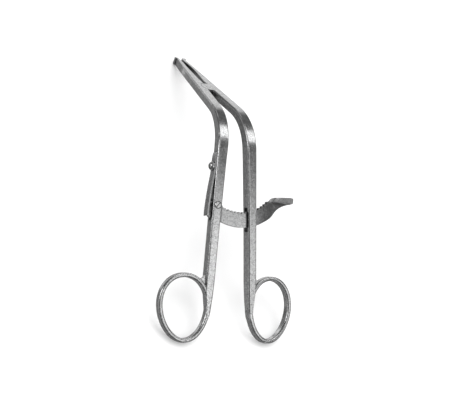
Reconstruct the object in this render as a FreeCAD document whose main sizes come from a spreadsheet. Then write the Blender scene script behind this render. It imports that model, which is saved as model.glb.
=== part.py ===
import FreeCAD, Part
import os
import math
import Sketcher
from FreeCAD import Vector, Placement, Rotation

# Lamina spreader: two arms that do not cross, hinged near their blades, with
# a toothed bar between the handles that holds them where they are squeezed.
#
# Working frame of each piece: X across the arms (+X towards the right arm),
# Y away from the front faces, Z up the handles towards the blades.  The hinge
# axis goes through the origin.  An arm has two flat stretches: the blade and
# shank, whose front face goes through the origin and leans back by the bend
# angle, and the handle, whose front face is upright.  "s" is the distance
# along the front face from the hinge, positive towards the tip, "u" is the
# distance outwards from the middle, and "depth" is how far behind the front
# face a point lies.

doc = FreeCAD.newDocument("lamina_spreader")
sheet = doc.addObject("Spreadsheet::Sheet", "P")

ROWS = [
    # alias, value (mm or degrees), meaning
    ("bend_angle", 58.05, "handle to blade bend"),
    ("bend_front", 29.10, "outer radius of the bend, at the front face"),
    ("bend_back", 24.0, "inner radius of the bend, at the back face"),
    ("shank_length", 25.68, "hinge to the start of the bend"),
    ("blade_length", 41.5, "hinge to the tip"),
    ("blade_depth", 4.13, "front to back of blade and shank"),
    ("handle_depth", 5.69, "front to back of the handle"),
    ("arm_inner", 1.15, "middle to the arm's inner face"),
    ("arm_outer", 7.00, "middle to the arm's outer face"),
    ("arm_edge", 0.90, "rounding of the long edges at the front"),
    ("arm_edge_back", 0.50, "rounding of the long edges at the back"),
    ("blade_edge", 0.30, "rounding of the blades' inner front edge"),
    ("rest_angle", 5.31, "each arm's turn from the middle at rest"),
    ("floor_tilt", 23.205, "handle's slope when the tool lies on its back"),
    ("tip_lip", 0.95, "height of the lip at the tip"),
    ("ear_radius", 4.10, "hinge ears and tongue"),
    ("ear_pocket", 4.32, "pockets that the ears turn in"),
    ("ear_depth", 1.30, "thickness of one ear"),
    ("ear_gap", 0.08, "running gap beside an ear"),
    ("pin_radius", 1.40, "hinge pin"),
    ("pin_bore", 1.44, "hinge pin's hole in the tongue"),
    ("pin_proud", 0.12, "pin's end above the ear"),
    ("ring_u_left", 17.05, "middle to the left ring's centre"),
    ("ring_u_right", 16.55, "middle to the right ring's centre"),
    ("ring_s", -137.4, "hinge to the ring's centre"),
    ("ring_wide_left", 12.95, "left ring's half width, mid band"),
    ("ring_wide_right", 12.55, "right ring's half width, mid band"),
    ("ring_long", 16.3, "ring's half length, mid band"),
    ("ring_tilt", 6.0, "outward lean of the ring"),
    ("ring_egg", 0.10, "ring's widening towards its top"),
    ("ring_band", 2.30, "ring band, radially"),
    ("ring_depth", 4.60, "ring band, front to back"),
    ("ring_round", 1.00, "rounding of the ring band"),
    ("slot_top", -84.2, "ratchet slot's upper end"),
    ("slot_end", -96.9, "ratchet slot's lower end"),
    ("slot_front", 1.62, "ratchet slot's front wall"),
    ("slot_width", 2.73, "ratchet slot, front to back"),
    ("mortise_top", -80.8, "ratchet mortise's upper end"),
    ("mortise_end", -93.6, "ratchet mortise's lower end"),
    ("mortise_front", 1.60, "ratchet mortise's front wall"),
    ("mortise_width", 2.10, "ratchet mortise, front to back"),
    ("bar_thick", 1.80, "ratchet bar's thickness"),
    ("bar_curve", 120.0, "ratchet bar's bend, seen from its edge"),
    ("bar_mid", 2.64, "depth of the bar's middle at its pivot"),
    ("tooth_radius", 25.5, "circle of the tooth tips"),
    ("tooth_height", 1.15, "ratchet tooth"),
    ("tooth_pitch", 2.10, "ratchet tooth spacing"),
    ("pivot_u", 4.40, "middle to the ratchet's pivot"),
    ("pivot_s", -84.4, "hinge to the ratchet's pivot"),
    ("pivot_shank", 1.10, "ratchet pivot screw's shank"),
    ("pivot_bore", 1.15, "shank's hole in the bar"),
    ("pivot_head", 1.65, "ratchet pivot screw's head"),
    ("pivot_sink", 0.95, "counterbore for the head"),
    ("leaf_width", 4.40, "leaf spring's width"),
    ("leaf_screw_s", -64.7, "hinge to the spring screw"),
    ("seat_top", -57.0, "hinge to the upper end of the spring's seat"),
    ("seat_end", -70.5, "hinge to the lower end of the spring's seat"),
    ("seat_depth", 0.08, "depth of the spring's seat"),
    ("leaf_shank", 1.20, "spring screw's shank"),
    ("leaf_hole", 1.40, "shank's hole in the spring"),
    ("leaf_head", 2.35, "spring screw's head"),
    ("leaf_dome", 1.90, "spring screw's head height"),
    ("web_depth", 2.60, "web between arm and ring"),
]
for i, (alias, value, text) in enumerate(ROWS, start=1):
    sheet.set("A%d" % i, text)
    sheet.set("B%d" % i, str(value))
    sheet.setAlias("B%d" % i, alias)
doc.recompute()
V = dict((alias, float(sheet.get(alias))) for alias, value, text in ROWS)

BETA = math.radians(V["bend_angle"])
SINB, COSB = math.sin(BETA), math.cos(BETA)
# where the handle's flat front starts, and its s there
HAND_Y = -V["shank_length"] * SINB - V["bend_front"] * (1 - COSB)
HAND_Z = -V["shank_length"] * COSB - V["bend_front"] * SINB
HAND_S = -V["shank_length"] - V["bend_front"] * BETA


def hz(s):
    """Height on the handle of a place s along the arm."""
    return HAND_Z + (s - HAND_S)


# ---------------------------------------------------------------- helpers
def plane(body, role):
    for f in body.Origin.OriginFeatures:
        if f.Role == role:
            return f


def lines(pts, closed=True):
    out = []
    n = len(pts)
    for k in range(n if closed else n - 1):
        a, b = pts[k], pts[(k + 1) % n]
        out.append(Part.LineSegment(Vector(a[0], a[1], 0), Vector(b[0], b[1], 0)))
    return out


def spline(pts):
    c = Part.BSplineCurve()
    c.interpolate([Vector(a[0], a[1], 0) for a in pts])
    return c


def sketch(body, name, role, geometry, offset=None, circles=()):
    """A sketch on one of the body's own planes; circles are
    (x, y, alias of the radius)."""
    sk = body.newObject("Sketcher::SketchObject", name)
    sk.AttachmentSupport = [(plane(body, role), "")]
    sk.MapMode = "FlatFace"
    if offset is not None:
        sk.AttachmentOffset = offset
    for g in geometry:
        sk.addGeometry(g, False)
    for x, y, alias in circles:
        k = sk.addGeometry(Part.Circle(Vector(x, y, 0), Vector(0, 0, 1), V[alias]), False)
        c = sk.addConstraint(Sketcher.Constraint("Radius", k, V[alias]))
        sk.setExpression("Constraints[%d]" % c, "P." + alias)
        if abs(x) > 1e-9:
            sk.addConstraint(Sketcher.Constraint("DistanceX", -1, 1, k, 3, x))
        else:
            sk.addConstraint(Sketcher.Constraint("PointOnObject", k, 3, -2))
        if abs(y) > 1e-9:
            sk.addConstraint(Sketcher.Constraint("DistanceY", -1, 1, k, 3, y))
        else:
            sk.addConstraint(Sketcher.Constraint("PointOnObject", k, 3, -1))
    return sk


def blade_offset(depth=0.0):
    """A front-facing sketch leaned back onto the blade, at a depth."""
    rot = Rotation(Vector(1, 0, 0), -V["bend_angle"])
    return Placement(rot.multVec(Vector(0, 0, -depth)), rot)


def front_offset(depth=0.0):
    """A front-facing sketch on the handle's front face, at a depth."""
    return Placement(Vector(0, 0, -(HAND_Y + depth)), Rotation())


def pad(body, sk, length, name, reverse=False, both=False):
    f = body.newObject("PartDesign::Pad", name)
    f.Profile = sk
    f.Type = "Length"
    if isinstance(length, str):
        f.setExpression("Length", length)
    else:
        f.Length = length
    f.Reversed = reverse
    if both:
        f.SideType = "Symmetric"
    sk.Visibility = False
    doc.recompute()
    return f


def pocket(body, sk, length, name, reverse=False, both=False):
    before = body.Shape.Volume
    f = body.newObject("PartDesign::Pocket", name)
    f.Profile = sk
    f.Type = "Length"
    if isinstance(length, str):
        f.setExpression("Length", length)
    else:
        f.Length = length
    f.Reversed = reverse
    if both:
        f.SideType = "Symmetric"
    doc.recompute()
    if not body.Shape.Volume < before - 1e-6:
        raise RuntimeError("%s cut nothing: %s %s box %s volume %.1f to %.1f" % (name, f.State, f.getStatusString(), body.Shape.BoundBox, before, body.Shape.Volume))
    return f


def round_edges(body, base, names, alias, name, kind="PartDesign::Fillet"):
    f = body.newObject(kind, name)
    f.Base = (base, names)
    f.setExpression("Radius" if kind.endswith("Fillet") else "Size", "P." + alias)
    doc.recompute()
    return f


# ---------------------------------------------------------------- the arms
def strip_profile():
    """Side view of an arm: front line, bend, tapered handle end and back."""
    sd, cd = SINB, COSB                      # blade direction in (Y, Z)
    tip = V["blade_length"]
    t0, t1 = V["blade_depth"], V["handle_depth"]
    a = Vector(-V["shank_length"] * sd, -V["shank_length"] * cd, 0)
    c = a + Vector(V["bend_front"] * COSB, -V["bend_front"] * SINB, 0)
    half = BETA / 2
    m = c + Vector(-V["bend_front"] * math.cos(half), V["bend_front"] * math.sin(half), 0)
    b = Vector(HAND_Y, HAND_Z, 0)
    tf = Vector(tip * sd, tip * cd, 0)
    tb = tf + Vector(t0 * COSB, -t0 * SINB, 0)
    # the handle's end thins gently on both faces, tangent to them
    s0, s1, thin = -112.0, -144.0, 0.75
    rad = ((s0 - s1) ** 2 + thin ** 2) / (2 * thin)
    sag = rad - math.sqrt(rad ** 2 - ((s0 - s1) / 2) ** 2)
    e1, e2 = Vector(HAND_Y, hz(s0), 0), Vector(HAND_Y + thin, hz(s1), 0)
    g1, g2 = Vector(HAND_Y + t1, hz(s0), 0), Vector(HAND_Y + t1 - thin, hz(s1), 0)
    em = Vector(HAND_Y + sag, hz((s0 + s1) / 2), 0)
    gm = Vector(HAND_Y + t1 - sag, hz((s0 + s1) / 2), 0)
    # back lines meet at q; the inner radius is tangent to both
    qy = HAND_Y + t1
    lam = (qy - t0 * COSB) / sd
    q = Vector(qy, lam * cd - t0 * SINB, 0)
    rb = V["bend_back"]
    run = rb * math.tan(half)
    lo = q + Vector(0, -run, 0)
    up = q + Vector(run * sd, run * cd, 0)
    cb = lo + Vector(rb, 0, 0)
    mb = cb + Vector(-rb * math.cos(half), rb * math.sin(half), 0)
    return [
        Part.LineSegment(tf, a), Part.Arc(a, m, b), Part.LineSegment(b, e1),
        Part.Arc(e1, em, e2), Part.LineSegment(e2, g2), Part.Arc(g2, gm, g1),
        Part.LineSegment(g1, lo), Part.Arc(lo, mb, up), Part.LineSegment(up, tb),
        Part.LineSegment(tb, tf),
    ]


def serrated_edge():
    """Outer outline of the blade near the tip, with its fine grip ridges."""
    pts = [(7.02, 19.5)]
    s, n = 20.0, 13
    pitch = 1.5
    for k in range(n):
        base = 7.0 - max(0.0, (s - 25.0)) * 0.052
        nxt = 7.0 - max(0.0, (s + pitch - 25.0)) * 0.052
        pts.append((base, s))
        pts.append((base - 0.36, s + 0.75))
        s += pitch
    pts.append((7.0 - (s - 25.0) * 0.052, s))
    return pts, s


def sx_side(side, pts):
    return [(side * p[0], p[1]) for p in pts]


def ring_line(side, off, count=28):
    """Points of the ring's outline, off outwards from its mid band: an oval
    that leans outwards and is a little wider at its top."""
    tag = "_right" if side > 0 else "_left"
    u0, s0 = V["ring_u" + tag], V["ring_s"]
    a, b, egg = V["ring_wide" + tag], V["ring_long"], V["ring_egg"]
    ct, st = math.cos(math.radians(V["ring_tilt"])), math.sin(math.radians(V["ring_tilt"]))
    out = []
    for k in range(count):
        w = 2 * math.pi * k / count
        x, y = a * math.cos(w) * (1 + egg * math.sin(w)), b * math.sin(w)
        dx = a * (-math.sin(w) + egg * math.cos(2 * w))
        dy = b * math.cos(w)
        n = math.hypot(dx, dy)
        x, y = x + off * dy / n, y - off * dx / n
        out.append((side * (u0 + x * ct + y * st), hz(s0 - x * st + y * ct)))
    return out


def build_bow(label, side):
    """Finger ring: a closed band with rounded edges."""
    body = doc.addObject("PartDesign::Body", label)
    geo = []
    for r in (V["ring_band"] / 2, -V["ring_band"] / 2):
        c = Part.BSplineCurve()
        c.interpolate([Vector(p[0], p[1], 0) for p in ring_line(side, r)], PeriodicFlag=True)
        geo.append(c)
    ring_front = (V["handle_depth"] - V["ring_depth"]) / 2
    sk = sketch(body, label + "_ring_sketch", "XZ_Plane", geo, front_offset(ring_front))
    f = pad(body, sk, "P.ring_depth", label + "_ring", reverse=True)
    round_edges(body, f, ["Edge%d" % (k + 1) for k, e in enumerate(f.Shape.Edges)
                          if not isinstance(e.Curve, Part.Line)], "ring_round", label + "_ring_round")
    return body


def strip_edges(shape, side, back, low, high, s_end):
    """Long edges of the bent strip between two u values, at the front or the
    back, down to s_end on the handle."""
    names = []
    for k, e in enumerate(shape.Edges):
        c = e.CenterOfMass
        bb = e.BoundBox
        if e.Length < 3.0 or not low < side * c.x < high or bb.XMax - bb.XMin > 1.2 or c.z < hz(s_end):
            continue
        if bb.ZMax - bb.ZMin < 2.0 or isinstance(e.Curve, Part.BSplineCurve):
            continue
        depth = max(c.y * COSB - c.z * SINB if c.z > HAND_Z + 14 else -99.0,
                    c.y - HAND_Y if c.z <= HAND_Z + 14 else -99.0)
        if isinstance(e.Curve, Part.Circle) and e.Curve.Radius < 40:
            behind = e.Curve.Radius < (V["bend_front"] + V["bend_back"]) / 2
        else:
            behind = depth > 2.0
        if behind == back:
            names.append("Edge%d" % (k + 1))
    return names


def build_arm(label, side):
    """side +1 is the right arm with the fork, -1 the left with the tongue."""
    body = doc.addObject("PartDesign::Body", label)

    def sx(pts):
        return sx_side(side, pts)

    # bent strip
    lo = V["arm_inner"] if side > 0 else -V["arm_outer"]
    off = Placement(Vector(0, 0, lo), Rotation())
    sk = sketch(body, label + "_side_sketch", "YZ_Plane", strip_profile(), off)
    sk.setExpression("AttachmentOffset.Base.z", "P.arm_inner" if side > 0 else "-P.arm_outer")
    pad(body, sk, "P.arm_outer - P.arm_inner", label + "_strip")
    for back, alias in ((False, "arm_edge"), (True, "arm_edge_back")):
        names = strip_edges(body.Tip.Shape, side, back, V["arm_outer"] - 0.02, V["arm_outer"] + 0.02, -146.0)
        round_edges(body, body.Tip, names, alias, label + "_outer_" + alias)
        print(label, "outer", alias, len(names), body.Tip.State, body.Shape.isValid())
    # blade outline: thinned from inside, ridged outside
    if side > 0:
        inner = [(0.90, 4.75), (1.15, 6.2), (1.75, 9.2), (2.50, 13.0), (3.20, 17.0), (3.85, 21.0), (4.20, 24.5),
                 (4.33, 28.0), (4.25, 33.0), (4.08, 36.5), (4.15, 38.7), (4.60, 40.4), (5.60, 41.6)]
    else:
        inner = [(0.90, 4.75), (1.45, 6.1), (1.95, 8.0), (2.32, 10.3), (2.75, 14.3), (3.05, 18.8), (3.45, 23.0),
                 (3.75, 27.7), (3.90, 31.0), (4.05, 34.0), (4.30, 36.5), (4.60, 38.5), (4.95, 40.3), (5.50, 41.6)]
    end = inner[-1][0]
    geo = [spline(sx(inner))] + lines(sx([inner[-1], (end, 44.0), (0.3, 44.0), (0.3, 4.75), inner[0]]), closed=False)
    sk = sketch(body, label + "_blade_inner", "XZ_Plane", geo, blade_offset())
    pocket(body, sk, 60.0, label + "_blade_thin", both=True)
    ridge, s_end = serrated_edge()
    outer = [(9.0, 19.5)] + ridge + [(6.2, s_end + 0.1), (6.2, 44.0), (9.0, 44.0)]
    sk = sketch(body, label + "_blade_outer", "XZ_Plane", lines(sx(outer)), blade_offset())
    pocket(body, sk, 60.0, label + "_blade_ridges", both=True)
    tip = V["blade_length"]
    lip = [(5.7, tip - 1.9), (6.2 + V["tip_lip"] - 0.25, tip - 1.9), (6.2 + V["tip_lip"], tip - 1.6),
           (6.2 + V["tip_lip"] + 0.1, tip - 0.5), (6.2 + V["tip_lip"] - 0.35, tip), (5.7, tip)]
    sk = sketch(body, label + "_lip_sketch", "XZ_Plane", lines(sx(lip)), blade_offset())
    pad(body, sk, "P.blade_depth", label + "_lip", reverse=True)
    # handle outline: inner face leans away, the end tapers into the ring
    inner = [(0.3, hz(-50)), (1.15, hz(-50)), (1.50, hz(-60)), (2.05, hz(-90)), (2.20, hz(-110)), (2.20, hz(-124)),
             (2.38, hz(-131)), (2.75, hz(-137)), (3.40, hz(-140.8)), (4.30, hz(-143.5)), (4.55, hz(-145)),
             (0.3, hz(-145))]
    # only the inner side is cut: the polygon stays clear of the ring
    sk = sketch(body, label + "_handle_inner", "XZ_Plane", lines(sx(inner)), front_offset(-1))
    pocket(body, sk, 9.0, label + "_handle_lean", reverse=False)
    outer = [(9.0, hz(-118.5)), (7.0, hz(-118.5)), (6.80, hz(-122.5)), (6.25, hz(-128.7)), (5.55, hz(-133.4)),
             (5.05, hz(-136.5)), (4.80, hz(-140)), (4.90, hz(-145)), (9.0, hz(-145))]
    sk = sketch(body, label + "_handle_outer", "XZ_Plane", lines(sx(outer)), front_offset(-1))
    pocket(body, sk, 9.0, label + "_handle_taper", reverse=False)
    return body


def finish_arm(body, label, side):
    """Hinge ears or tongue, hinge bore, and the opening for the bar."""
    ed, eg, bd = V["ear_depth"], V["ear_gap"], V["blade_depth"]
    if side > 0:
        for tag, d0 in (("front", 0.0), ("back", bd - ed)):
            sk = sketch(body, label + "_ear_" + tag, "XZ_Plane", [], blade_offset(d0),
                        circles=[(0.0, 0.0, "ear_radius")])
            pad(body, sk, "P.ear_depth", label + "_ear_pad_" + tag, reverse=True)
        sk = sketch(body, label + "_fork_sketch", "XZ_Plane", [], blade_offset(ed),
                    circles=[(0.0, 0.0, "ear_pocket")])
        pocket(body, sk, "P.blade_depth - 2 * P.ear_depth", label + "_fork", reverse=False)
        sk = sketch(body, label + "_bore_sketch", "XZ_Plane", [], blade_offset(-1),
                    circles=[(0.0, 0.0, "pin_radius")])
        pocket(body, sk, bd + 2, label + "_bore", reverse=False)
    else:
        sk = sketch(body, label + "_tongue_sketch", "XZ_Plane", [], blade_offset(ed + eg),
                    circles=[(0.0, 0.0, "ear_radius")])
        pad(body, sk, "P.blade_depth - 2 * P.ear_depth - 2 * P.ear_gap", label + "_tongue", reverse=True)
        for tag, d0 in (("front", -0.5), ("back", bd - ed - eg)):
            sk = sketch(body, label + "_relief_" + tag, "XZ_Plane", [], blade_offset(d0),
                        circles=[(0.0, 0.0, "ear_pocket")])
            pocket(body, sk, ed + eg + (0.5 if d0 < 0 else 1.0), label + "_relief_cut_" + tag, reverse=False)
        sk = sketch(body, label + "_bore_sketch", "XZ_Plane", [], blade_offset(-1),
                    circles=[(0.0, 0.0, "pin_bore")])
        pocket(body, sk, bd + 2, label + "_bore", reverse=False)
    # opening for the ratchet bar, with round ends, across the arm
    if side > 0:
        fr, wide, top, end = V["slot_front"], "P.slot_width", V["slot_top"], V["slot_end"]
        window = [(0.5, hz(end)), (9.0, hz(end)), (9.0, hz(top)), (0.5, hz(top))]
    else:
        # the mortise narrows outwards, where only the bar's heel comes through
        fr, wide, top, end = V["mortise_front"], "P.mortise_width", V["mortise_top"], V["mortise_end"]
        window = [(0.5, hz(end)), (9.0, hz(end + 1.6)), (9.0, hz(top - 1.6)), (4.4, hz(top)), (0.5, hz(top))]
    sk = sketch(body, label + "_window_sketch", "XZ_Plane", lines(sx_side(side, window)), front_offset(fr))
    pocket(body, sk, wide, label + "_window", reverse=False)
    if side < 0:
        x, z = -V["pivot_u"], hz(V["pivot_s"])
        sk = sketch(body, label + "_pivot_sketch", "XZ_Plane", [], front_offset(-1),
                    circles=[(x, z, "pivot_shank")])
        pocket(body, sk, V["handle_depth"] + 2, label + "_pivot_bore", reverse=False)
        sk = sketch(body, label + "_sink_sketch", "XZ_Plane", [], front_offset(-1),
                    circles=[(x, z, "pivot_head")])
        pocket(body, sk, V["pivot_sink"] + 1, label + "_pivot_sink", reverse=False)
        # hole for the spring screw, into the outer face
        sk = sketch(body, label + "_leaf_hole_sketch", "YZ_Plane", [],
                    Placement(Vector(0, 0, -8.0), Rotation()),
                    circles=[(HAND_Y + V["handle_depth"] / 2, hz(V["leaf_screw_s"]), "leaf_shank")])
        pocket(body, sk, 5.2, label + "_leaf_hole", reverse=True)
        # shallow milled seat for the spring's fixed end, right across the face
        y0, y1 = HAND_Y - 1.0, HAND_Y + V["handle_depth"] + 1.0
        z0, z1 = hz(V["seat_end"]), hz(V["seat_top"])
        sk = sketch(body, label + "_seat_sketch", "YZ_Plane",
                    lines([(y0, z0), (y1, z0), (y1, z1), (y0, z1)]),
                    Placement(Vector(0, 0, -8.0), Rotation()))
        pocket(body, sk, "8.0 - P.arm_outer + P.seat_depth", label + "_seat", reverse=True)


def make_arm(label, side):
    shaft = build_arm(label + "_shaft", side)
    for back, alias in ((False, "arm_edge"), (True, "arm_edge_back")):
        names = strip_edges(shaft.Tip.Shape, side, back, 1.0, 2.5, -128.0)
        f = round_edges(shaft, shaft.Tip, names, alias, label + "_inner_" + alias)
        print(label, "inner", alias, len(names), f.State, "valid", f.Shape.isValid(), len(f.Shape.Solids))
    names = []
    for k, e in enumerate(shaft.Tip.Shape.Edges):
        c = e.CenterOfMass
        if abs(c.y * COSB - c.z * SINB) < 0.02 and e.Length > 20 and isinstance(e.Curve, Part.BSplineCurve):
            names.append("Edge%d" % (k + 1))
    f = round_edges(shaft, shaft.Tip, names, "blade_edge", label + "_blade_edge")
    print(label, "blade edge", len(names), f.State, f.Shape.isValid())
    # web that closes the corner between the arm and the top of the ring
    web = [(6.0, hz(-117.6)), (6.9, hz(-118.4)), (7.25, hz(-120.4)), (8.1, hz(-121.8)), (9.4, hz(-122.3)),
           (11.4, hz(-122.0)), (11.8, hz(-122.8)), (8.0, hz(-127.4)), (6.0, hz(-130.0))]
    sk = sketch(shaft, label + "_web_sketch", "XZ_Plane", lines(sx_side(side, web)),
                front_offset((V["handle_depth"] - V["web_depth"]) / 2))
    pad(shaft, sk, "P.web_depth", label + "_web", reverse=True)
    finish_arm(shaft, label, side)
    bow = build_bow(label + "_bow", side)
    arm = doc.addObject("Part::Fuse", label)
    arm.Base = shaft
    arm.Tool = bow
    arm.Refine = False
    arm.Label = label
    doc.recompute()
    print(label, "whole", arm.State, arm.Shape.isValid(), len(arm.Shape.Solids), arm.Shape.Volume)
    return arm


right = make_arm("right_arm", +1)
left = make_arm("left_arm", -1)

# ---------------------------------------------------------------- hinge pin
pin = doc.addObject("PartDesign::Body", "pivot_pin")
pin.Label = "pivot_pin"
sk = sketch(pin, "pivot_pin_sketch", "XZ_Plane", [], blade_offset(-V["pin_proud"]),
            circles=[(0.0, 0.0, "pin_radius")])
f = pad(pin, sk, "P.blade_depth + 2 * P.pin_proud", "pivot_pin_pad", reverse=True)
ends = ["Edge%d" % (k + 1) for k, e in enumerate(f.Shape.Edges) if isinstance(e.Curve, Part.Circle)]
f = pin.newObject("PartDesign::Chamfer", "pivot_pin_ends")
f.Base = (pin.Tip if pin.Tip != f else pin.Group[-2], ends)
f.setExpression("Size", "P.pin_proud")
doc.recompute()

# ------------------------------------------------------------- ratchet bar
# Front outline, x measured from the middle towards the right arm.
TX, TS = 8.0, -60.75
RT = V["tooth_radius"]


def bar_outline():
    px, pz = -V["pivot_u"], hz(V["pivot_s"])
    pts = []
    x, end = 2.16, 26.4
    a = math.asin((x - TX) / RT)
    a_end = math.asin((end - TX) / RT)
    step = V["tooth_pitch"] / RT
    th = V["tooth_height"]

    def at(ang, r):
        return (TX + r * math.sin(ang), hz(TS - r * math.cos(ang)))
    teeth = []
    while a < a_end - step * 0.5:
        # root, steep flank on the left, flat crest, long back on the right
        teeth += [at(a + step * 0.02, RT + th), at(a + step * 0.20, RT + 0.05),
                  at(a + step * 0.42, RT), at(a + step * 0.98, RT + th)]
        a += step
    first, last = teeth[0], teeth[-1]
    geo = lines(teeth, closed=False)
    # neck up to the thumb pad, round the end, and back along the lower edge
    neck = [last, (28.3, hz(-78.1)), (28.9, hz(-77.35)), (29.8, hz(-76.6)), (31.0, hz(-76.0)), (32.4, hz(-75.8))]
    geo += lines(neck, closed=False)
    end_pts = [neck[-1], (42.6, hz(-75.9)), (43.9, hz(-77.0)), (43.9, hz(-78.0))]
    geo += lines(end_pts, closed=False)
    low = [(43.9, -78.0), (40.6, -78.75), (37.4, -79.95), (35.0, -81.2), (33.2, -82.6), (31.8, -84.15),
           (30.4, -86.0), (28.5, -87.7), (25.6, -89.5), (21.2, -91.8), (17.0, -93.2), (12.6, -94.1),
           (8.6, -94.3), (4.4, -93.9), (0.0, -92.9)]
    geo.append(spline([(p[0], hz(p[1])) for p in low]))
    heel = [(0.0, -92.9), (-3.4, -92.0), (-6.6, -91.3)]
    geo += lines([(p[0], hz(p[1])) for p in heel], closed=False)
    nose = [(-6.6, -91.3), (-8.2, -90.7), (-8.66, -89.7), (-8.2, -88.8), (-7.2, -88.3)]
    geo.append(spline([(p[0], hz(p[1])) for p in nose]))
    eye_r = 3.05
    a0 = math.radians(205)
    start = (px + eye_r * math.cos(a0), pz + eye_r * math.sin(a0))
    geo += lines([(nose[-1][0], hz(nose[-1][1])), start], closed=False)
    a1 = math.radians(8)
    mid = math.radians(120)
    stop = (px + eye_r * math.cos(a1), pz + eye_r * math.sin(a1))
    geo.append(Part.Arc(Vector(start[0], start[1], 0),
                        Vector(px + eye_r * math.cos(mid), pz + eye_r * math.sin(mid), 0),
                        Vector(stop[0], stop[1], 0)))
    geo += lines([stop, (-0.5, hz(-85.25)), (0.9, hz(-85.35)), first], closed=False)
    return geo


bar_sk = doc.addObject("Sketcher::SketchObject", "bar_outline")
# a front-facing sketch: x right, y up, normal towards the viewer
bar_sk.Placement = Placement(Vector(0, HAND_Y - 5, 0), Rotation(Vector(1, 0, 0), 90))
for g in bar_outline():
    bar_sk.addGeometry(g, False)
k = bar_sk.addGeometry(Part.Circle(Vector(-V["pivot_u"], hz(V["pivot_s"]), 0), Vector(0, 0, 1), V["pivot_bore"]), False)
c = bar_sk.addConstraint(Sketcher.Constraint("Radius", k, V["pivot_bore"]))
bar_sk.setExpression("Constraints[%d]" % c, "P.pivot_bore")
bar_sk.addConstraint(Sketcher.Constraint("DistanceX", -1, 1, k, 3, -V["pivot_u"]))
bar_sk.addConstraint(Sketcher.Constraint("DistanceY", -1, 1, k, 3, hz(V["pivot_s"])))
doc.recompute()
bar_block = doc.addObject("Part::Extrusion", "bar_block")
bar_block.Base = bar_sk
bar_block.DirMode = "Custom"
bar_block.Dir = Vector(0, 1, 0)
bar_block.LengthFwd = 30.0
bar_block.Solid = True
# the bar is a plate bent to a large radius, so that it follows the slot
outer_c = doc.addObject("Part::Cylinder", "bar_bend_front")
inner_c = doc.addObject("Part::Cylinder", "bar_bend_back")
for c, e in ((outer_c, "P.bar_curve + P.bar_thick / 2"), (inner_c, "P.bar_curve - P.bar_thick / 2")):
    c.setExpression("Radius", e)
    c.Height = 60.0
    c.Placement = Placement(Vector(-4.0, HAND_Y + V["bar_mid"] + V["bar_curve"], hz(-110)), Rotation())
shell = doc.addObject("Part::Cut", "bar_shell")
shell.Base = outer_c
shell.Tool = inner_c
bar_plate = doc.addObject("Part::Common", "bar_plate")
bar_plate.Base = bar_block
bar_plate.Tool = shell
doc.recompute()

# thumb pad: a ridged flange across the bar's end
PADX = 35.4
tang = math.degrees(math.asin((PADX + 4.0) / V["bar_curve"]))
pad_y = HAND_Y + V["bar_mid"] + V["bar_curve"] - math.sqrt(V["bar_curve"] ** 2 - (PADX + 4.0) ** 2)
pad_sk = doc.addObject("Sketcher::SketchObject", "thumb_pad_outline")
prof = [(-5.9, -1.3), (-5.2, -0.4), (-4.0, 0.5), (-2.7, 1.05)]
k = -2.2
while k < 4.8:
    prof += [(k, 1.08), (k + 0.45, 1.30), (k + 1.0, 1.30), (k + 1.3, 1.08)]
    k += 1.6
prof += [(6.5, 1.05), (7.4, 0.45), (7.6, -0.5), (7.5, -1.65), (6.6, -2.15), (4.4, -2.4), (2.4, -2.25), (-4.0, -1.5)]
for g in lines(prof):
    pad_sk.addGeometry(g, False)
pad_rot = Rotation(Vector(0, 0, 1), tang).multiply(Rotation(Vector(0, 1, 0), -6.2))
pad_rot = pad_rot.multiply(Rotation(Vector(1, 0, 0), 90))
pad_dir = pad_rot.multVec(Vector(0, 0, 1))
pad_sk.Placement = Placement(Vector(PADX, pad_y, hz(-76.55)) + pad_dir * 3.9, pad_rot)
doc.recompute()
pad_block = doc.addObject("Part::Extrusion", "thumb_pad_block")
pad_block.Base = pad_sk
pad_block.DirMode = "Custom"
pad_block.Dir = pad_dir * -1
pad_block.LengthFwd = 5.6
pad_block.Solid = True
doc.recompute()
# its lower front edge is bevelled
front_at = pad_sk.Placement.Base
bevel = []
for k, e in enumerate(pad_block.Shape.Edges):
    v = e.CenterOfMass - front_at
    up = v.dot(pad_rot.multVec(Vector(0, 1, 0)))
    if abs(v.dot(pad_dir)) < 0.01 and up < -0.9:
        bevel.append((k + 1, 0.45, 0.45))
pad_piece = doc.addObject("Part::Chamfer", "thumb_pad")
pad_piece.Base = pad_block
pad_piece.Edges = bevel
doc.recompute()
print("thumb pad bevel", len(bevel), pad_piece.State, pad_piece.Shape.isValid())
bar = doc.addObject("Part::Fuse", "ratchet_bar")
bar.Base = bar_plate
bar.Tool = pad_piece
bar.Label = "ratchet_bar"
doc.recompute()

# ------------------------------------------------------ ratchet pivot screw
screw = doc.addObject("PartDesign::Body", "ratchet_pivot_screw")
screw.Label = "ratchet_pivot_screw"
sx0, sz0 = -V["pivot_u"], hz(V["pivot_s"])
hd = V["pivot_sink"]
sk = sketch(screw, "pivot_screw_shank", "XZ_Plane", [], front_offset(hd - 0.01), circles=[(sx0, sz0, "pivot_shank")])
pad(screw, sk, V["handle_depth"] - hd - 0.05, "pivot_screw_shank_pad", reverse=True)
sk = sketch(screw, "pivot_screw_head", "XZ_Plane", [], front_offset(-0.28), circles=[(sx0, sz0, "pivot_head")])
f = pad(screw, sk, hd + 0.28, "pivot_screw_head_pad", reverse=True)
rim = []
for k, e in enumerate(f.Shape.Edges):
    if isinstance(e.Curve, Part.Circle) and abs(e.Curve.Radius - V["pivot_head"]) < 1e-4 \
            and abs(e.Curve.Center.y - (HAND_Y - 0.28)) < 1e-4:
        rim.append("Edge%d" % (k + 1))
f2 = screw.newObject("PartDesign::Chamfer", "pivot_screw_rim")
f2.Base = (f, rim)
f2.Size = 0.22
doc.recompute()
ang = math.radians(52)
ca, sa = math.cos(ang), math.sin(ang)
slot = [(-3, -0.27), (3, -0.27), (3, 0.27), (-3, 0.27)]
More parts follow.
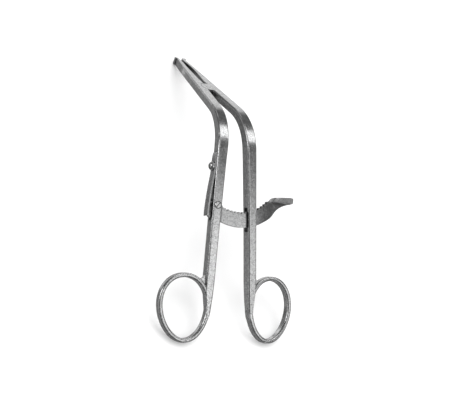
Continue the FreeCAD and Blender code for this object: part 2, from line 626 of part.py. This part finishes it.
slot = [(sx0 + a * ca - b * sa, sz0 + a * sa + b * ca) for a, b in slot]
sk = sketch(screw, "pivot_screw_slot", "XZ_Plane", lines(slot), front_offset(-1.0))
pocket(screw, sk, 1.0 + 0.35, "pivot_screw_slot_cut", reverse=False)

# ------------------------------------------------------------- leaf spring
leaf = doc.addObject("PartDesign::Body", "leaf_spring")
leaf.Label = "leaf_spring"
inner_l = [(-57.6, 7.16), (-61.0, 7.12), (-66.5, 7.12), (-70.0, 7.38), (-74.0, 7.86), (-79.0, 8.34),
           (-84.0, 8.68), (-88.0, 8.84), (-90.2, 8.72)]
outer_l = [(-57.6, 7.42), (-60.2, 7.84), (-63.0, 7.94), (-66.5, 7.96), (-70.0, 8.25), (-74.0, 8.72), (-79.0, 9.20),
           (-84.0, 9.54), (-88.0, 9.72), (-90.4, 9.64)]
li = [(-u, hz(s)) for s, u in inner_l]
lo_ = [(-u, hz(s)) for s, u in outer_l]
geo = [spline(li), spline(lo_)]
geo += lines([li[0], lo_[0]], closed=False) + lines([li[-1], lo_[-1]], closed=False)
sk = sketch(leaf, "leaf_side", "XZ_Plane", geo, front_offset((V["handle_depth"] - V["leaf_width"]) / 2))
pad(leaf, sk, "P.leaf_width", "leaf_strip", reverse=True)
sk = sketch(leaf, "leaf_hole_sketch", "YZ_Plane", [], Placement(Vector(0, 0, -12.0), Rotation()),
            circles=[(HAND_Y + V["handle_depth"] / 2, hz(V["leaf_screw_s"]), "leaf_hole")])
pocket(leaf, sk, 8.0, "leaf_hole_cut", reverse=True)

# ------------------------------------------------------------ spring screw
lscrew = doc.addObject("PartDesign::Body", "spring_screw")
lscrew.Label = "spring_screw"
zc, yc = hz(V["leaf_screw_s"]), HAND_Y + V["handle_depth"] / 2
base_u = 8.20
r, hgt = V["leaf_head"], V["leaf_dome"]
tipx = -(base_u + hgt)
geo = [
    Part.LineSegment(Vector(-3.2, zc, 0), Vector(-3.2, zc + V["leaf_shank"], 0)),
    Part.LineSegment(Vector(-3.2, zc + V["leaf_shank"], 0), Vector(-base_u, zc + V["leaf_shank"], 0)),
    Part.LineSegment(Vector(-base_u, zc + V["leaf_shank"], 0), Vector(-base_u, zc + r, 0)),
    Part.LineSegment(Vector(-base_u, zc + r, 0), Vector(-base_u - 0.45, zc + r, 0)),
    Part.Arc(Vector(-base_u - 0.45, zc + r, 0),
             Vector(-base_u - 0.45 - (hgt - 0.45) * 0.72, zc + r * 0.70, 0), Vector(tipx, zc, 0)),
    Part.LineSegment(Vector(tipx, zc, 0), Vector(-3.2, zc, 0)),
]
sk = sketch(lscrew, "spring_screw_half", "XZ_Plane", geo, Placement(Vector(0, 0, -yc), Rotation()))
rev = lscrew.newObject("PartDesign::Revolution", "spring_screw_turned")
rev.Profile = sk
axis_line = len(geo) - 1
rev.ReferenceAxis = (sk, ["Edge%d" % (axis_line + 1)])
rev.Angle = 360.0
doc.recompute()
sl = [(yc - 4, zc - 0.28), (yc + 4, zc - 0.28), (yc + 4, zc + 0.28), (yc - 4, zc + 0.28)]
a2 = math.radians(62)
sl = [(yc + (p - yc) * math.cos(a2) - (q - zc) * math.sin(a2), zc + (p - yc) * math.sin(a2) + (q - zc) * math.cos(a2)) for p, q in sl]
sk = sketch(lscrew, "spring_screw_slot", "YZ_Plane", lines(sl), Placement(Vector(0, 0, tipx - 1.0), Rotation()))
pocket(lscrew, sk, 1.0 + 0.75, "spring_screw_slot_cut", reverse=True)

# ---------------------------------------------------------------- assembly
# Each arm turns about the hinge axis, which is square to the blade's front.
AXIS = Vector(0, -COSB, SINB)
PHI = V["rest_angle"]
lay = Rotation(Vector(1, 0, 0), -90.0 + V["floor_tilt"])
turn_r = Placement(Vector(0, 0, 0), Rotation(AXIS, PHI))
turn_l = Placement(Vector(0, 0, 0), Rotation(AXIS, -PHI))
members = [(right, turn_r), (pin, turn_r), (left, turn_l), (bar, turn_l), (screw, turn_l),
           (leaf, turn_l), (lscrew, turn_l)]
doc.recompute()


def place(shift):
    base = Placement(shift, lay)
    for obj, turn in members:
        obj.Placement = base.multiply(turn)
    doc.recompute()


place(Vector(0, 0, 0))
box = FreeCAD.BoundBox()
for obj, turn in members:
    box.add(obj.Shape.optimalBoundingBox(False, False))
# origin: on the surface it lies on, under the middle of the tool
SHIFT = Vector(-(box.XMin + box.XMax) / 2, -(box.YMin + box.YMax) / 2, -box.ZMin)
place(SHIFT)
print("box before shift", box)
print("shift %.6f %.6f %.6f" % (SHIFT.x, SHIFT.y, SHIFT.z))

# ------------------------------------------------------------------ export
bad = []
for o in doc.Objects:
    if "Invalid" in o.State or "Error" in o.State:
        bad.append((o.Name, o.State, o.getStatusString()))
for obj, turn in members:
    s = obj.Shape
    if s.isNull() or not s.isValid() or len(s.Solids) != 1:
        bad.append((obj.Label, "null" if s.isNull() else "valid=%s solids=%d" % (s.isValid(), len(s.Solids))))
if bad:
    raise RuntimeError("bad objects: %s" % bad)
os.makedirs("parts", exist_ok=True)
for obj, turn in members:
    obj.Shape.exportStep("parts/%s.step" % obj.Label)
    bb = obj.Shape.BoundBox
    print("%-22s %8.1f mm3  box %.1f %.1f %.1f .. %.1f %.1f %.1f" % (
        obj.Label, obj.Shape.Volume, bb.XMin, bb.YMin, bb.ZMin, bb.XMax, bb.YMax, bb.ZMax))
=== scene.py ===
import math

import bpy
from mathutils import Matrix, Vector

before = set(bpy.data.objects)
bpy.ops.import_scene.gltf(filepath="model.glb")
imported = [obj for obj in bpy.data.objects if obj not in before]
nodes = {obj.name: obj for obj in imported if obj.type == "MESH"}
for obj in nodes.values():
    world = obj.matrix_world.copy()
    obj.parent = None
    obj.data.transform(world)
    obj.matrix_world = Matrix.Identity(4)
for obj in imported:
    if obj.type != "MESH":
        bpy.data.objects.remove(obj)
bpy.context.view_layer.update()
scene = bpy.context.scene

# ------------------------------------------------------------------ camera
cam_data = bpy.data.cameras.new("camera")
cam_data.sensor_fit = "HORIZONTAL"
cam_data.sensor_width = 36.0
cam_data.lens = 80.193
cam_data.clip_start, cam_data.clip_end = 0.01, 20.0
cam = bpy.data.objects.new("camera", cam_data)
scene.collection.objects.link(cam)
axes = ((0.860559, -0.078105, -0.503326),
        (-0.158719, 0.897852, -0.410695),
        (0.483990, 0.433315, 0.760258))
place = Matrix(axes).to_4x4()
place.translation = Vector((-0.262987, -0.230294, 0.421917))
cam.matrix_world = place
scene.camera = cam
scene.view_settings.view_transform = "Standard"

# ------------------------------------------------------------ node helpers


class Net:
    """Short calls to build a node tree."""

    def __init__(self, tree):
        self.tree = tree
        tree.nodes.clear()

    def node(self, kind, **values):
        n = self.tree.nodes.new(kind)
        for k, v in values.items():
            setattr(n, k, v)
        return n

    def put(self, socket, value):
        if isinstance(value, bpy.types.NodeSocket):
            self.tree.links.new(value, socket)
        else:
            socket.default_value = value

    def math(self, op, a, b=0.0, clamp=False):
        n = self.node("ShaderNodeMath", operation=op, use_clamp=clamp)
        self.put(n.inputs[0], a)
        self.put(n.inputs[1], b)
        return n.outputs[0]

    def ramp(self, fac, stops, mode="LINEAR"):
        n = self.node("ShaderNodeValToRGB")
        n.color_ramp.interpolation = mode
        e = n.color_ramp.elements
        while len(e) < len(stops):
            e.new(0.5)
        for k, (at, value) in enumerate(stops):
            e[k].position = at
            e[k].color = (value, value, value, 1) if isinstance(value, (int, float)) else (*value, 1)
        self.put(n.inputs[0], fac)
        return n.outputs[0]

    def noise(self, vector, scale, detail=4.0, rough=0.55, distortion=0.0):
        n = self.node("ShaderNodeTexNoise")
        self.put(n.inputs["Vector"], vector)
        self.put(n.inputs["Scale"], scale)
        self.put(n.inputs["Detail"], detail)
        self.put(n.inputs["Roughness"], rough)
        self.put(n.inputs["Distortion"], distortion)
        return n.outputs["Fac"]

    def stretch(self, vector, scale, turn=(0.0, 0.0, 0.0)):
        n = self.node("ShaderNodeMapping")
        self.put(n.inputs["Vector"], vector)
        n.inputs["Scale"].default_value = scale
        n.inputs["Rotation"].default_value = turn
        return n.outputs[0]

    def mix(self, fac, a, b):
        n = self.node("ShaderNodeMix", data_type="RGBA")
        self.put(n.inputs[0], fac)
        for s, v in ((n.inputs[6], a), (n.inputs[7], b)):
            self.put(s, (*v, 1) if isinstance(v, tuple) else v)
        return n.outputs[2]


def steel(name, tone, rough, grain=(900.0, 60.0, 900.0), turn=(0.0, 0.0, 0.0), wear=0.5, bump=0.06,
          mottle=0.12, recess_shade=0.6, fine=0.26, knurl_and_gap_shade=False, seam_shade_ring=None):
    """Ground and polished stainless steel: fine lines along the part, soft
    blotches, small pits and brighter worn edges."""
    m = bpy.data.materials.new(name)
    m.use_nodes = True
    t = Net(m.node_tree)
    at = t.node("ShaderNodeTexCoord").outputs["Object"]
    lines = t.noise(t.stretch(at, grain, turn), 1.0, 3.0, 0.6)
    cloud = t.noise(at, 480.0, 5.0, 0.7)
    speck = t.noise(at, 1500.0, 2.0, 0.5)
    geo = t.node("ShaderNodeNewGeometry").outputs["Pointiness"]
    edge = t.ramp(geo, [(0.50, 0.0), (0.56, 1.0)])
    low = tuple(c * (1 - mottle) for c in tone)
    high = tuple(min(1.0, c * (1 + 0.7 * mottle)) for c in tone)
    colour = t.mix(t.ramp(cloud, [(0.38, 0.0), (0.62, 1.0)]), low, high)
    grit = t.ramp(t.noise(at, 1500.0, 3.0, 0.7), [(0.40, 1.0 - fine), (0.58, 1.0)])
    pits = t.math("MULTIPLY", t.ramp(speck, [(0.26, 0.62), (0.36, 1.0)]), grit)
    mul = t.node("ShaderNodeMix", data_type="RGBA", blend_type="MULTIPLY")
    mul.inputs[0].default_value = 1.0
    t.put(mul.inputs[6], colour)
    t.put(mul.inputs[7], pits)
    # painted shade: the base colour is darkened in recesses and between parts, by ambient occlusion within 6 mm
    near = t.node("ShaderNodeAmbientOcclusion", samples=8)
    near.inputs["Distance"].default_value = 0.006
    shade = t.ramp(near.outputs["AO"], [(0.25, 1.0 - recess_shade), (0.85, 1.0)])
    dark = t.node("ShaderNodeMix", data_type="RGBA", blend_type="MULTIPLY")
    dark.inputs[0].default_value = 1.0
    t.put(dark.inputs[6], mul.outputs[2])
    t.put(dark.inputs[7], shade)
    if seam_shade_ring:
        # painted shade in the seam round a flush screw head: centre, axis, radius
        centre, axis, radius = seam_shade_ring
        off = t.node("ShaderNodeVectorMath", operation="SUBTRACT")
        t.put(off.inputs[0], at)
        off.inputs[1].default_value = centre
        across = t.node("ShaderNodeVectorMath", operation="CROSS_PRODUCT")
        t.put(across.inputs[0], off.outputs[0])
        across.inputs[1].default_value = axis
        away = t.node("ShaderNodeVectorMath", operation="LENGTH")
        t.put(away.inputs[0], across.outputs[0])
        seam = t.ramp(t.math("MULTIPLY", t.math("ADD", away.outputs["Value"], -radius), 1000.0), [(0.0, 0.22), (0.22, 0.3), (0.55, 1.0)])
        seam_shaded = t.node("ShaderNodeMix", data_type="RGBA", blend_type="MULTIPLY")
        seam_shaded.inputs[0].default_value = 1.0
        t.put(seam_shaded.inputs[6], dark.outputs[2])
        t.put(seam_shaded.inputs[7], seam)
        dark = seam_shaded
    r = t.math("ADD", t.math("MULTIPLY", lines, 0.10), rough - 0.05)
    r = t.math("ADD", r, t.math("MULTIPLY", cloud, 0.10))
    r = t.math("SUBTRACT", r, t.math("MULTIPLY", edge, 0.10 * wear), clamp=True)
    b = t.node("ShaderNodeBump")
    b.inputs["Distance"].default_value = 0.00002
    b.inputs["Strength"].default_value = 0.25
    height = t.math("ADD", t.math("MULTIPLY", lines, bump * 8.0), t.math("MULTIPLY", speck, 0.25))
    if knurl_and_gap_shade:
        # painted shade: the base colour is darkened in the tooth gaps by short-range ambient occlusion, eased off past
        # the teeth towards the thumb pad
        gap = t.node("ShaderNodeAmbientOcclusion", samples=8)
        gap.inputs["Distance"].default_value = 0.0016
        deep = t.node("ShaderNodeMix", data_type="RGBA", blend_type="MULTIPLY")
        deep.inputs[0].default_value = 1.0
        t.put(deep.inputs[6], dark.outputs[2])
        end = t.node("ShaderNodeSeparateXYZ")
        t.put(end.inputs[0], at)
        past = t.ramp(t.math("MULTIPLY", t.math("ADD", end.outputs[0], -0.0222), 400.0), [(0.1, 0.0), (0.5, 0.85)])
        t.put(deep.inputs[7], t.math("MAXIMUM", t.ramp(gap.outputs["AO"], [(0.62, 0.03), (0.96, 1.0)]), past))
        dark = deep
        # coarse pressed grain on the thumb pad, at the bar's free end
        sep = t.node("ShaderNodeSeparateXYZ")
        t.put(sep.inputs[0], at)
        up = t.math("ADD", t.math("MULTIPLY", sep.outputs[1], 0.919), t.math("MULTIPLY", sep.outputs[2], 0.394))
        pad = t.math("MULTIPLY", t.ramp(t.math("MULTIPLY", t.math("ADD", up, 0.0048), 500.0), [(0.2, 0.0), (0.6, 1.0)]),
                     t.ramp(t.math("MULTIPLY", t.math("ADD", sep.outputs[0], -0.0225), 400.0), [(0.2, 0.0), (0.8, 1.0)]))
        coarse = t.noise(at, 1100.0, 2.0, 0.6)
        height = t.math("ADD", height, t.math("MULTIPLY", t.math("MULTIPLY", coarse, pad), 22.0))
        r = t.math("ADD", r, t.math("MULTIPLY", pad, 0.18), clamp=True)
    t.put(b.inputs["Height"], height)
    p = t.node("ShaderNodeBsdfPrincipled")
    p.inputs["Metallic"].default_value = 1.0
    t.put(p.inputs["Base Color"], dark.outputs[2])
    t.put(p.inputs["Roughness"], r)
    t.put(p.inputs["Normal"], b.outputs[0])
    out = t.node("ShaderNodeOutputMaterial")
    t.put(out.inputs["Surface"], p.outputs[0])
    return m


satin = steel("satin_steel_ground", (0.89, 0.893, 0.896), 0.17, mottle=0.14)
# the left arm's copy of the satin steel, with a painted shade ring in the seam round a flush screw head
left_steel = steel("left_steel_ground_seam_shaded", (0.89, 0.893, 0.896), 0.17, mottle=0.14,
                   seam_shade_ring=((-0.01008, -0.02315, 0.03254), (-0.0785, -0.391, 0.917), 0.00165))
bright = steel("screw_steel_bright", (0.97, 0.972, 0.975), 0.14, grain=(500.0, 500.0, 500.0), mottle=0.05, fine=0.1)
bar_steel = steel("bar_steel_ground", (0.80, 0.803, 0.806), 0.20, mottle=0.15, knurl_and_gap_shade=True)
polished = steel("polished_steel_turned", (0.88, 0.883, 0.886), 0.16, grain=(500.0, 500.0, 500.0))
spring = steel("spring_steel_strip", (0.72, 0.722, 0.728), 0.26)
finish = {"left_arm": left_steel, "right_arm": satin, "ratchet_bar": bar_steel, "leaf_spring": spring,
          "pivot_pin": polished, "ratchet_pivot_screw": bright, "spring_screw": polished}
for name, material in finish.items():
    o = nodes[name]
    for s in o.material_slots:
        s.material = material

# ------------------------------------------------------------------- stage
def plane(name, width, depth):
    me = bpy.data.meshes.new(name)
    x, y = width / 2, depth / 2
    me.from_pydata([(-x, -y, 0), (x, -y, 0), (x, y, 0), (-x, y, 0)], [], [(0, 1, 2, 3)])
    o = bpy.data.objects.new(name, me)
    scene.collection.objects.link(o)
    return o


floor = plane("floor", 6.0, 6.0)
fm = bpy.data.materials.new("floor_paper")
fm.use_nodes = True
t = Net(fm.node_tree)
d = t.node("ShaderNodeBsdfDiffuse")
d.inputs["Color"].default_value = (0.86, 0.86, 0.86, 1)
o = t.node("ShaderNodeOutputMaterial")
t.put(o.inputs["Surface"], d.outputs[0])
floor.data.materials.append(fm)
floor.visible_glossy = False


def softbox(name, at, aim, width, depth, power, soft=0.25, back=0.0):
    """A reflector with soft edges that only the metal sees."""
    o = plane(name, width, depth)
    o.location = at
    o.rotation_euler = (Vector(aim) - Vector(at)).to_track_quat("-Z", "Y").to_euler()
    m = bpy.data.materials.new(name)
    m.use_nodes = True
    t = Net(m.node_tree)
    sep = t.node("ShaderNodeSeparateXYZ")
    t.put(sep.inputs[0], t.node("ShaderNodeTexCoord").outputs["Object"])
    mask = 1.0
    for out, half in ((sep.outputs[0], width / 2), (sep.outputs[1], depth / 2)):
        r = t.node("ShaderNodeMapRange", interpolation_type="SMOOTHSTEP")
        t.put(r.inputs["Value"], t.math("ABSOLUTE", out))
        r.inputs["From Min"].default_value = half * (1 - soft)
        r.inputs["From Max"].default_value = half
        r.inputs["To Min"].default_value = 1.0
        r.inputs["To Max"].default_value = 0.0
        mask = t.math("MULTIPLY", r.outputs[0], mask)
    e = t.node("ShaderNodeEmission")
    e.inputs["Color"].default_value = (1, 1, 1, 1)
    t.put(e.inputs["Strength"], t.math("MULTIPLY", mask, power))
    clear = t.node("ShaderNodeBsdfTransparent")
    mx = t.node("ShaderNodeMixShader")
    t.put(mx.inputs[0], mask)
    t.put(mx.inputs[1], clear.outputs[0])
    t.put(mx.inputs[2], e.outputs[0])
    out = t.node("ShaderNodeOutputMaterial")
    t.put(out.inputs["Surface"], mx.outputs[0])
    o.data.materials.append(m)
    o.visible_camera = o.visible_diffuse = o.visible_shadow = False
    return o


softbox("box_over_tips", (0.33, 0.195, 0.5), (0.33, 0.195, 0.0), 0.9, 0.29, 1.25, 0.25)
softbox("box_over_rings", (0.29, -0.52, 0.5), (0.29, -0.52, 0.0), 0.58, 0.84, 0.84, 0.26)
softbox("box_left", (-0.55, 0.09, 0.24), (0, 0.04, 0.02), 0.28, 0.30, 2.3, 0.3)


def lamp(name, at, aim, size, power):
    data = bpy.data.lights.new(name, "AREA")
    data.shape = "SQUARE"
    data.size = size
    data.energy = power
    o = bpy.data.objects.new(name, data)
    scene.collection.objects.link(o)
    o.location = at
    o.rotation_euler = (Vector(aim) - Vector(at)).to_track_quat("-Z", "Y").to_euler()
    o.visible_glossy = False
    return o


lamp("key", (0.25, 0.35, 1.1), (0, 0, 0), 1.0, 4.0)

world = bpy.data.worlds.new("studio")
scene.world = world
world.use_nodes = True
t = Net(world.node_tree)
way = t.node("ShaderNodeTexCoord").outputs["Generated"]


def glow(azimuth, elevation, inner, outer, power):
    """A soft round patch of the surroundings."""
    a, e = math.radians(azimuth), math.radians(elevation)
    dot = t.node("ShaderNodeVectorMath", operation="DOT_PRODUCT")
    t.put(dot.inputs[0], way)
    dot.inputs[1].default_value = (math.sin(a) * math.cos(e), math.cos(a) * math.cos(e), math.sin(e))
    r = t.node("ShaderNodeMapRange", interpolation_type="SMOOTHSTEP")
    t.put(r.inputs["Value"], dot.outputs["Value"])
    r.inputs["From Min"].default_value = math.cos(math.radians(outer))
    r.inputs["From Max"].default_value = math.cos(math.radians(inner))
    r.inputs["To Min"].default_value = 0.0
    r.inputs["To Max"].default_value = power
    return r.outputs[0]


sep = t.node("ShaderNodeSeparateXYZ")
t.put(sep.inputs[0], way)
base = t.node("ShaderNodeMapRange", interpolation_type="SMOOTHSTEP")
t.put(base.inputs["Value"], sep.outputs[2])
base.inputs["From Min"].default_value = -0.66
base.inputs["From Max"].default_value = -0.2
base.inputs["To Min"].default_value = 0.20
base.inputs["To Max"].default_value = 0.075
total = base.outputs[0]
for patch in ((30, -18, 12, 30, 0.60), (-54, -41, 4, 9, -0.12), (-74, -47, 3, 7, 0.07),
              (148, -15, 8, 20, 0.45), (-12, -38, 7, 17, 0.35),
              (190, 56, 10, 32, 0.45), (0, 88, 6, 20, 0.35), (0, 24, 8, 20, 0.40), (90, -10, 14, 38, 0.40),
              (-72, -6, 8, 22, 0.45), (-92, -22, 8, 20, 0.30), (-12, -16, 8, 20, 0.42)):
    total = t.math("ADD", total, glow(*patch))
studio = t.node("ShaderNodeBackground")
studio.inputs["Color"].default_value = (1, 1, 1, 1)
t.put(studio.inputs["Strength"], total)
room = t.node("ShaderNodeBackground")
room.inputs["Color"].default_value = (1, 1, 1, 1)
room.inputs["Strength"].default_value = 1.35
mx = t.node("ShaderNodeMixShader")
t.put(mx.inputs[0], t.node("ShaderNodeLightPath").outputs["Is Glossy Ray"])
t.put(mx.inputs[1], room.outputs[0])
t.put(mx.inputs[2], studio.outputs[0])
o = t.node("ShaderNodeOutputWorld")
t.put(o.inputs["Surface"], mx.outputs[0])
